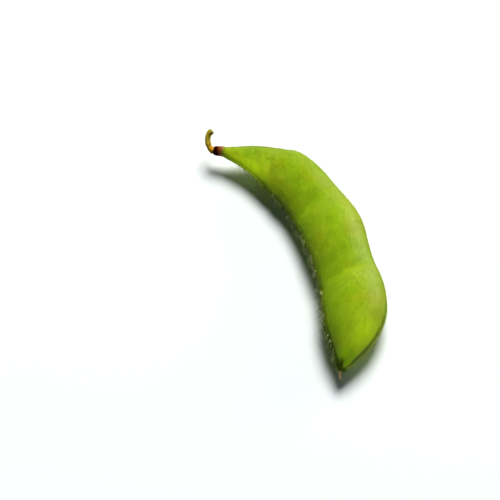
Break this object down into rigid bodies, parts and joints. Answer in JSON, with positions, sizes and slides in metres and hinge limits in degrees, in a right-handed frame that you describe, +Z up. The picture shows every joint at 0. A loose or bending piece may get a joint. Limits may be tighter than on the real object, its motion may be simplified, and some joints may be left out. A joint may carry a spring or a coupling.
{
  "type": "edamame pod",
  "caption": "Fresh green soybean pod lying on its side: a downy curved shell swollen over its beans, with a dried calyx and a short curled stalk.",
  "frame": {"origin": "on the surface that the pod lies on, under the middle of its bounding box", "axes": "+X from the stalk towards the beak, +Y towards the outer side of the pod's bow, +Z up"},
  "size_m": [0.062, 0.0223, 0.0091],
  "materials": {
    "pod": "downy living pod skin, matt with a soft sheen",
    "calyx": "dried and shrivelled, dark maroon",
    "stalk": "dry ochre stalk, faintly ribbed"
  },
  "bodies": {
    "root": {"pod": "pod", "calyx": "calyx", "stalk": "stalk"}
  },
  "joints": []
}
